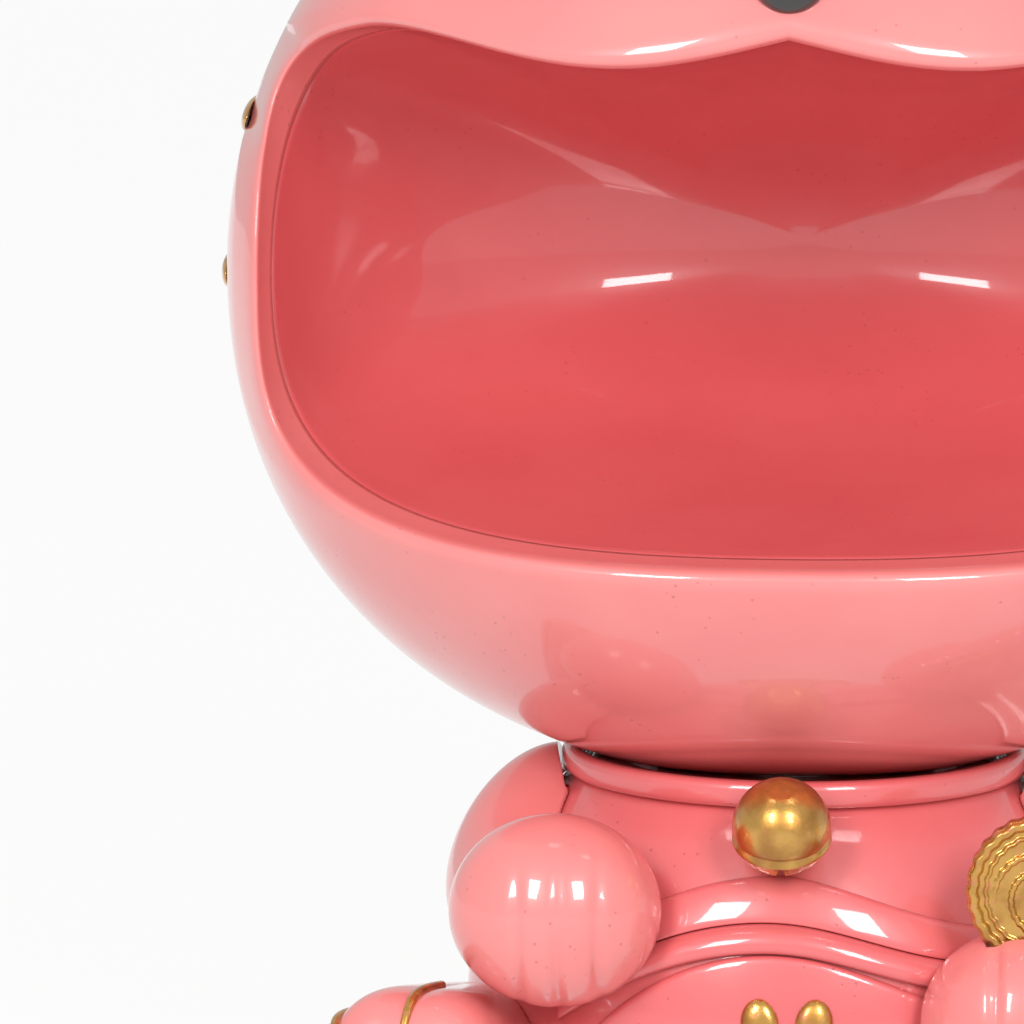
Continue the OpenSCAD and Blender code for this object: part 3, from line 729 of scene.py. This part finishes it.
@dataclass
class Torso:
    """Body shell with its collar, sash, trim, apron, emblem and bell."""

    form: BodyForm = BODY
    columns: int = 220
    hem_top: float = 58.0
    apron: float = 1.5

    def hem(self, x: np.ndarray) -> np.ndarray:
        """Height of the hem line: a parabola to the left, an easing fall to the right."""
        return self.hem_top - np.where(x < -3, 0.0108 * (x + 3) ** 2, 9.5 * (1 - np.exp(-((x + 3) / 27) ** 2)))

    def ring(self, z: np.ndarray, off: np.ndarray | float) -> Rows:
        """Oval ring of the body at height z."""
        a = np.linspace(0, 2 * math.pi, self.columns, endpoint=False)[None]
        rx, ry = self.form.half(z)
        return stack((rx + off) * np.cos(a), (ry + off) * np.sin(a), z + 0 * a)

    def shell(self) -> None:
        """Body casting: outer wall with a softened shoulder edge, flat seat, hole and inner wall."""
        z = np.linspace(6, self.form.neck_z - 1.5, 60)[:, None]
        b = np.linspace(0, math.pi / 2, 8)[:, None]
        edge = self.ring(self.form.neck_z - 1.5 + 1.5 * np.sin(b), -1.5 * (1 - np.cos(b)))
        a = np.linspace(0, 2 * math.pi, self.columns, endpoint=False)[None]
        hole = stack(24.1 * np.cos(a), 24.1 * np.sin(a), np.array([[self.form.neck_z], [self.form.neck_z - 4.0]]))
        inner = self.ring(np.linspace(self.form.neck_z - 4, 6, 24)[:, None], -4.0)
        rows = np.concatenate([self.ring(z, 0.0), edge, hole, inner])
        put("torso_shell", [Skin.over(rows, Ends.LOOP)], Finish.BODY)

    def collar(self) -> None:
        """Collar: a full round band round the neck, its section a soft superellipse."""
        a = np.linspace(0, 2 * math.pi, 260, endpoint=False)[None]
        s = np.linspace(0, 2 * math.pi, 32, endpoint=False)[:, None]
        mid_z, half_z, half_t = self.form.neck_z - 0.7, 2.3, 1.9
        across = half_t * np.sign(np.cos(s)) * abs(np.cos(s)) ** 0.7
        off = 3.4 + across
        z = mid_z + half_z * np.sign(np.sin(s)) * abs(np.sin(s)) ** 0.7
        rows = stack((self.form.neck_x + off) * np.cos(a), (self.form.neck_y + off) * np.sin(a), z + 0 * a)
        rows = HEAD.clear(self.form.clear(rows, 0.15), 0.15)
        put("collar_band", [Skin.over(rows, Ends.LOOP)], Finish.BODY)

    def strip(self, low: Callable, high: Callable, height: float, power: float) -> Skin:
        """Raised strip across the belly between two lines.

        Args:
            low: lower line as a function of x.
            high: upper line as a function of x.
            height: height above the body at the middle of the strip.
            power: 1 for a round cord, higher for a flat band.

        Returns:
            The closed skin.
        """
        x = np.linspace(-39.6, 39.6, 180)[:, None]
        s = np.linspace(0, math.pi, 26)[None]
        v = 0.5 - 0.5 * np.cos(s)
        top = 0.2 + (height - 0.2) * np.sin(s) ** (1 / power)
        z0, z1 = low(x), high(x)
        over = self.form.front(x + 0 * v, z0 + (z1 - z0) * v, top)
        w = np.linspace(0.85, 0.15, 5)[None]
        under = self.form.front(x + 0 * w, z0 + (z1 - z0) * w, 0.2)
        return Skin.over(np.concatenate([over, under], 1))

    def belts(self) -> None:
        """Flat sash above the hem line and the round trim below it."""
        sash = self.strip(lambda x: self.hem(x) + 0.15, lambda x: self.hem(x) + 7.6 - abs(x) * 0.05, 1.7, 3.5)
        trim = self.strip(lambda x: self.hem(x) - 4.9, self.hem, 2.8, 1.3)
        put("sash_band", [sash], Finish.BODY)
        put("apron_trim", [trim], Finish.BODY)

    def belly(self) -> None:
        """Apron over the belly, its upper edge under the trim, with the paw print in relief."""
        a = np.linspace(0, 2 * math.pi, 200, endpoint=False)
        x = 37 * np.sign(np.cos(a)) * abs(np.cos(a)) ** 0.8
        top = self.hem(x) - 5.15
        mid = (top + 7) / 2
        above, below = (top - mid) * abs(np.sin(a)) ** 0.45, (mid - 7) * abs(np.sin(a)) ** 0.7
        rise = np.where(np.sin(a) > 0, mid + above, mid - below)
        s = np.concatenate([np.linspace(0.02, 0.97, 40), [0.985, 0.995, 1.0], np.linspace(1, 0.02, 12)])[:, None]
        lift = np.concatenate([np.full(40, self.apron), [1.4, 1.1, 0.6], np.full(12, 0.25)])[:, None]
        rows = self.form.front(x * s, 30 + (rise - 30) * s, lift)
        put("belly_apron", [Skin.over(rows)], Finish.BODY)

        def on_apron(u: np.ndarray, v: np.ndarray, off: np.ndarray) -> Rows:
            """Point on the apron."""
            return self.form.front(u, v, self.apron + off)

        toes = ((-11.5, 35.5, 3.0, 4.0, 24.0), (-4.4, 41.5, 3.2, 4.4, 8.0), (4.8, 41.5, 3.2, 4.4, -8.0),
                (11.9, 35.5, 3.0, 4.0, -24.0))
        skins = [button(oval(*toe), on_apron, 1.5, 0.1) for toe in toes]
        b = np.linspace(0, 2 * math.pi, 140, endpoint=False)
        r = 1 + 0.13 * np.cos(3 * (b - math.pi / 2))
        skins.append(button(np.column_stack([0.2 + 8.4 * r * np.cos(b), 27.2 + 7 * r * np.sin(b)]), on_apron, 1.7, 0.1))
        put("paw_emblem", skins, Finish.GOLD)

    def bell(self) -> None:
        """Round bell: a ball with a waist flange and a slit sunk into its lower half."""
        v = np.linspace(0.01, math.pi - 0.01, 150)[:, None]
        a = np.linspace(0, 2 * math.pi, 260, endpoint=False)[None]
        lat = np.degrees(math.pi / 2 - v)
        r = 8.4 + 0.45 * np.exp(-((lat + 17) / 4.5) ** 2) - 0.3 * np.exp(-((lat + 8) / 3) ** 2) + 0 * a
        x, y, z = r * np.sin(v) * np.cos(a), r * np.sin(v) * np.sin(a), r * np.cos(v)
        slit = np.exp(-(x / 0.55) ** 4) * (1 / (1 + np.exp((z + 4.6) / 0.3)))
        hole = np.exp(-((x ** 2 + (z + 4.4) ** 2) / 1.2 ** 2) ** 2) * (y < 0)
        k = 1 - 0.2 * np.maximum(slit, hole)
        x, y, z = x * k, y * k, np.minimum(z * k, 8.0)
        t = deg(28.0)
        rows = stack(x - 1, y * np.cos(t) - z * np.sin(t) - 48.8, y * np.sin(t) + z * np.cos(t) + 75)
        put("bell", [Skin.over(HEAD.clear(rows, 0.1))], Finish.BRIGHT_GOLD)

    def build(self) -> None:
        """Makes every piece of the body."""
        self.shell()
        self.collar()
        self.belts()
        self.belly()
        self.bell()


@dataclass
class Limbs:
    """Arm, paw, leg and gilt toe strips of one side."""

    side: Side
    radii: tuple[float, float, float] = (18.2, 15.2, 16.6)
    paws: dict = field(default_factory=lambda: {Side.LEFT: (-39.5, -49.0, 60.0), Side.RIGHT: (41.0, -51.0, 42.0)})

    @property
    def centre(self) -> tuple[float, float, float]:
        """Middle of this side's paw."""
        return self.paws[self.side]

    def arm(self) -> None:
        """Arm: round rings along a Bezier path, pushed clear of what it rests on."""
        c = self.centre
        wrist = [self.side.value * c[0] + 4, c[1] + 14, c[2] - 1]
        p = np.array([[34, -2, 70], [46, 2, 71], [52, -14, 49], wrist], float)
        u = np.linspace(0, 1, 90)[:, None]
        path = (1 - u) ** 3 * p[0] + 3 * (1 - u) ** 2 * u * p[1] + 3 * (1 - u) * u * u * p[2] + u ** 3 * p[3]
        along = np.gradient(path, axis=0)
        along /= np.linalg.norm(along, axis=1, keepdims=True)
        across = np.cross(along, [0, 0, 1.0])
        across /= np.linalg.norm(across, axis=1, keepdims=True)
        rise = np.cross(across, along)
        a = np.linspace(0, 2 * math.pi, 96, endpoint=False)[None, :, None]
        r = ((11.5 + 2 * np.sin(math.pi * u)) * np.sqrt(np.maximum(0.02, 1 - abs(2 * u - 1) ** 8)))[:, None]
        rows = path[:, None] + across[:, None] * r * np.cos(a) + rise[:, None] * r * np.sin(a)
        rows = rows * [self.side.value, 1, 1]
        rows = BODY.clear_collar(BODY.clear(HEAD.clear(rows, 0.3), 0.3), 6)
        rows = clear_ball(self.clear_leg(rows, 0.3), c, self.radii, 0.2)
        put(f"{self.side.word}_arm", [Skin.over(rows)], Finish.HEAD)

    def leg_at(self, u: np.ndarray) -> tuple[np.ndarray, ...]:
        """Centre, half width, half height and end cap of the leg at share u of its length."""
        cap = np.maximum(0.0, 1 - abs(2 * u - 1) ** 7) ** 0.5 * 0.97 + 0.03
        return (52 + 14 * u, -4 - 60 * u, 20 + 4.5 * u, 17 + 4.5 * u ** 0.7, 17 + 6.5 * u ** 0.7, cap)

    def toes(self, a: np.ndarray, u: np.ndarray) -> np.ndarray:
        """Swell of the three toes: a rectified cosine round the top of the foot."""
        d = np.degrees(a)
        return np.where((d > 13) & (d < 133), 0.085 * u * abs(np.cos(deg(4.5 * (d - 73)))) ** 0.8, 0.0)

    def clear_leg(self, p: Rows, off: float) -> Rows:
        """Pushes points out of this side's leg."""
        u = np.clip((-4 - p[..., 1]) / 60, 0, 1)
        cx, _, cz, w, h, cap = self.leg_at(u)
        x, z = self.side.value * p[..., 0] - cx, p[..., 2] - cz
        s = np.clip(np.hypot(x / (w * cap + off), z / (h * cap * 1.05 + off)), 0.05, 1)
        s = np.where((p[..., 1] > -4) | (p[..., 1] < -64), 1.0, s)
        return stack(self.side.value * (cx + x / s), p[..., 1], cz + z / s)

    def leg(self) -> None:
        """Leg stretched forward: ovals that swell to the foot, with toe grooves over its top."""
        u = (0.5 - 0.5 * np.cos(np.linspace(0, math.pi, 120)))[:, None]
        a = np.linspace(0, 2 * math.pi, 240, endpoint=False)[None]
        cx, y, cz, w, h, cap = self.leg_at(u)
        k = cap * (1 + self.toes(a, u))
        x, z = cx + w * k * np.cos(a), np.maximum(1.0, cz + h * k * np.sin(a))
        rows = stack(self.side.value * x, y + 0 * a, z)
        rows = clear_ball(BODY.clear(rows, 0.2), self.centre, self.radii, 0.3)
        put(f"{self.side.word}_leg", [Skin.over(rows)], Finish.HEAD)

    def toe_strips(self) -> None:
        """Gilt strips that fill the grooves between the toes."""
        skins = []
        u = np.linspace(0.62, 0.975, 50)[:, None]
        cx, y, cz, w, h, cap = self.leg_at(u)
        q = np.linspace(0, math.pi, 16)[None]
        for middle in (53.0, 93.0):
            a = deg(middle - 2.4 * np.cos(q))
            lift = 0.15 + 1.2 * np.sin(q) ** 0.6
            x, z = cx + (w * cap + lift) * np.cos(a), cz + (h * cap + lift) * np.sin(a)
            skins.append(Skin.over(stack(self.side.value * x, y + 0 * q, z)))
        put(f"{self.side.word}_toe_inlays", skins, Finish.GOLD)

    def paw(self) -> None:
        """Closed paw: an ellipsoid with shallow dents between the fingers on its front."""
        v = np.linspace(0.015, math.pi - 0.015, 110)[:, None]
        a = np.linspace(0, 2 * math.pi, 180, endpoint=False)[None]
        n = stack(np.sin(v) * np.cos(a), -np.cos(v) + 0 * a, np.sin(v) * np.sin(a))
        x = n[..., 0] * self.radii[0]
        ahead = np.clip(-n[..., 1] * 1.6, 0, 1) * np.clip(0.5 - n[..., 2] * self.side.value * -0.6, 0, 1)
        dent = sum(np.exp(-((x - g) / 1.1) ** 2) for g in (-5.6, 1.2, 8.0)) * 0.9 * ahead
        rows = np.array(self.centre) + n * (np.array(self.radii) - dent[..., None])
        rows = BODY.clear(rows, 3.3)
        piece = put(f"{self.side.word}_paw", [Skin.over(rows)], Finish.HEAD)
        if self.side is Side.RIGHT:
            r = np.array([[13.4], [13.4]])
            b = np.linspace(0, 2 * math.pi, 120, endpoint=False)[None]
            y = np.array([[-56.0], [-52.1]]) + 0 * b
            cut(piece, Skin.over(stack(43.5 + r * np.cos(b), y, 65.5 + r * np.sin(b))))

    def build(self) -> None:
        """Makes this side's limbs."""
        self.arm()
        self.paw()
        self.leg()
        self.toe_strips()


@dataclass
class Medallion:
    """Gilt disc in the right paw with a scalloped rim, two rings and curled scrolls."""

    centre: tuple[float, float, float] = (43.5, -54.0, 65.5)
    radius: float = 13.2
    thick: float = 3.4

    def build(self) -> None:
        """Makes the disc: height is a sum of ring ridges and a three-armed spiral ridge."""
        a = np.linspace(0, 2 * math.pi, 320, endpoint=False)[None]
        edge = self.radius * (1 - 0.012 + 0.012 * np.cos(28 * a))
        s = np.concatenate([np.linspace(0.01, 1, 90), [1.0, 1.0, 1.0], np.linspace(1, 0.01, 8)])[:, None]
        r = s * self.radius
        ridge = np.exp(-((r - 12.1) / 0.8) ** 4) + 0.6 * np.exp(-((r - 9.9) / 0.35) ** 2)
        swirl = np.clip(np.sin(2 * math.pi * r / 3.1 - 3 * a) * 1.8 - 0.6, 0, 1) * np.clip((9.0 - r) / 1.2, 0, 1)
        swirl = swirl * np.clip((r - 1.6) / 0.6, 0, 1) + np.exp(-(r / 1.3) ** 4)
        top = self.thick / 2 - 0.8 + 0.8 * np.clip(ridge + 0.7 * swirl, 0, 1)
        side = np.array([0.9, 0.0, -self.thick / 2])[:, None] + 0 * a
        h = np.concatenate([top[:90], side, np.full((8, 320), -self.thick / 2)])
        x, z = s * edge * np.cos(a), s * edge * np.sin(a)
        rows = stack(self.centre[0] + x, self.centre[1] - h, self.centre[2] + z)
        put("medallion", [Skin.over(rows)], Finish.GOLD)


@dataclass
class Tail:
    """Short tail curled up the back."""

    def build(self) -> None:
        """Makes the tail: round rings along a Bezier path, thinner to its tip."""
        p = np.array([[0, 48, 16], [24, 70, 8], [38, 62, 34], [22, 58, 52]], float)
        u = np.linspace(0, 1, 90)[:, None]
        path = (1 - u) ** 3 * p[0] + 3 * (1 - u) ** 2 * u * p[1] + 3 * (1 - u) * u * u * p[2] + u ** 3 * p[3]
        along = np.gradient(path, axis=0)
        along /= np.linalg.norm(along, axis=1, keepdims=True)
        across = np.cross(along, [0, 0, 1.0])
        across /= np.linalg.norm(across, axis=1, keepdims=True)
        rise = np.cross(across, along)
        a = np.linspace(0, 2 * math.pi, 60, endpoint=False)[None, :, None]
        r = ((8 - 2.5 * u) * np.sqrt(np.maximum(0.002, 1 - abs(2 * u - 1) ** 8)))[:, None]
        rows = path[:, None] + across[:, None] * r * np.cos(a) + rise[:, None] * r * np.sin(a)
        rows[..., 2] = np.maximum(rows[..., 2], 1.0)
        put("tail", [Skin.over(BODY.clear(rows, 0.2))], Finish.HEAD)


@dataclass
class Studio:
    """Pale floor, two soft boxes, soft surroundings and the camera."""

    azimuth: float = 1.5
    elevation: float = 6.5
    distance: float = 1.2
    view_width: float = 0.1792
    aim: tuple[float, float, float] = (0.0, 0.0, 0.165)
    left_of_aim: float = 0.0499
    below_aim: float = 0.0432

    def floor(self) -> None:
        """Pale floor that reads as white but keeps the shadow."""
        tree = Tree("floor_white")
        ray = tree.node("ShaderNodeLightPath")
        seen = Value(tree, ray.outputs["Is Camera Ray"]) + Value(tree, ray.outputs["Is Glossy Ray"])
        grain = tree.noise(30.0)
        matt = tree.node("ShaderNodeBsdfDiffuse", {}, {"Color": tree.blend(grain, (0.8, 0.8, 0.8), (0.78, 0.78, 0.78))})
        glow = tree.node("ShaderNodeEmission", {}, {"Color": (1, 1, 1, 1), "Strength": 1.0})
        mix = tree.node("ShaderNodeMixShader", {}, {0: (seen * 0.92).clamped(), 1: matt.outputs[0], 2: glow.outputs[0]})
        tree.tree.links.new(mix.outputs[0], tree.output.inputs["Surface"])
        mesh = bpy.data.meshes.new("floor")
        mesh.from_pydata([(-4, -4, 0), (4, -4, 0), (4, 4, 0), (-4, 4, 0)], [], [(0, 1, 2, 3)])
        mesh.materials.append(tree.material)
        made = bpy.data.objects.new("floor", mesh)
        bpy.context.scene.collection.objects.link(made)

    def surroundings(self) -> None:
        """World: soft grey for lighting, white where it is seen or mirrored."""
        world = bpy.data.worlds.new("surroundings")
        bpy.context.scene.world = world
        world.use_nodes = True
        nodes, links = world.node_tree.nodes, world.node_tree.links
        nodes.clear()
        out, mix = nodes.new("ShaderNodeOutputWorld"), nodes.new("ShaderNodeMixShader")
        ray = nodes.new("ShaderNodeLightPath")
        soft, white = nodes.new("ShaderNodeBackground"), nodes.new("ShaderNodeBackground")
        soft.inputs["Color"].default_value, soft.inputs["Strength"].default_value = (1, 0.99, 0.98, 1), 0.62
        white.inputs["Color"].default_value, white.inputs["Strength"].default_value = (1, 1, 1, 1), 1.0
        links.new(ray.outputs["Is Camera Ray"], mix.inputs[0])
        links.new(soft.outputs[0], mix.inputs[1])
        links.new(white.outputs[0], mix.inputs[2])
        links.new(mix.outputs[0], out.inputs["Surface"])

    def box(self, name: str, place: Sequence[float], size: tuple[float, float], power: float) -> None:
        """One rectangular soft box that faces the figure.

        Args:
            name: the lamp's name.
            place: its middle, in metres.
            size: its width and height, in metres.
            power: its power in watts.
        """
        lamp = bpy.data.lights.new(name, "AREA")
        lamp.shape, lamp.size, lamp.size_y, lamp.energy = "RECTANGLE", size[0], size[1], power
        made = bpy.data.objects.new(name, lamp)
        made.location = place
        made.rotation_euler = (Vector((0, 0, 0.13)) - Vector(place)).to_track_quat("-Z", "Y").to_euler()
        bpy.context.scene.collection.objects.link(made)

    def camera(self) -> None:
        """Camera at the chosen angle, turned so the figure sits up and to the right."""
        a, e = math.radians(self.azimuth), math.radians(self.elevation)
        back = Vector((math.sin(a) * math.cos(e), -math.cos(a) * math.cos(e), math.sin(e)))
        right = Vector((math.cos(a), math.sin(a), 0))
        rise = back.cross(right)
        lens = bpy.data.cameras.new("camera")
        lens.sensor_width, lens.lens = 36.0, 36.0 * self.distance / self.view_width
        made = bpy.data.objects.new("camera", lens)
        made.location = Vector(self.aim) + back * self.distance
        look = Vector(self.aim) - right * self.left_of_aim - rise * self.below_aim - made.location
        made.rotation_euler = look.to_track_quat("-Z", "Y").to_euler()
        bpy.context.scene.collection.objects.link(made)
        bpy.context.scene.camera = made

    def build(self) -> None:
        """Sets up the whole studio."""
        bpy.context.scene.view_settings.view_transform = "Standard"
        self.camera()
        self.floor()
        self.surroundings()
        self.box("soft_box_left", (-0.5, -1.15, 0.75), (0.3, 0.5), 8.0)
        self.box("soft_box_right", (0.5, -1.15, 0.75), (0.3, 0.5), 8.0)


def dress_solids() -> None:
    """Gives the solid nodes that stay visible their finishes."""
    finishes = {
        "neck_sleeve": Finish.TUBE, "base_plate": Finish.RESIN,
        "stopper": Finish.STOPPER, "foot_pads": Finish.PAD}
    for node, finish in finishes.items():
        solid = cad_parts[node]
        if not solid.material_slots:
            solid.data.materials.append(finish.material)
        for place in solid.material_slots:
            place.material = finish.material


def main() -> None:
    """Builds the studio and the figure in order."""
    logging.basicConfig(level=logging.INFO)
    Studio().build()
    Head().build()
    Torso().build()
    for side in Side:
        Limbs(side).build()
    Medallion().build()
    Tail().build()
    dress_solids()


if __name__ == "__main__":
    main()
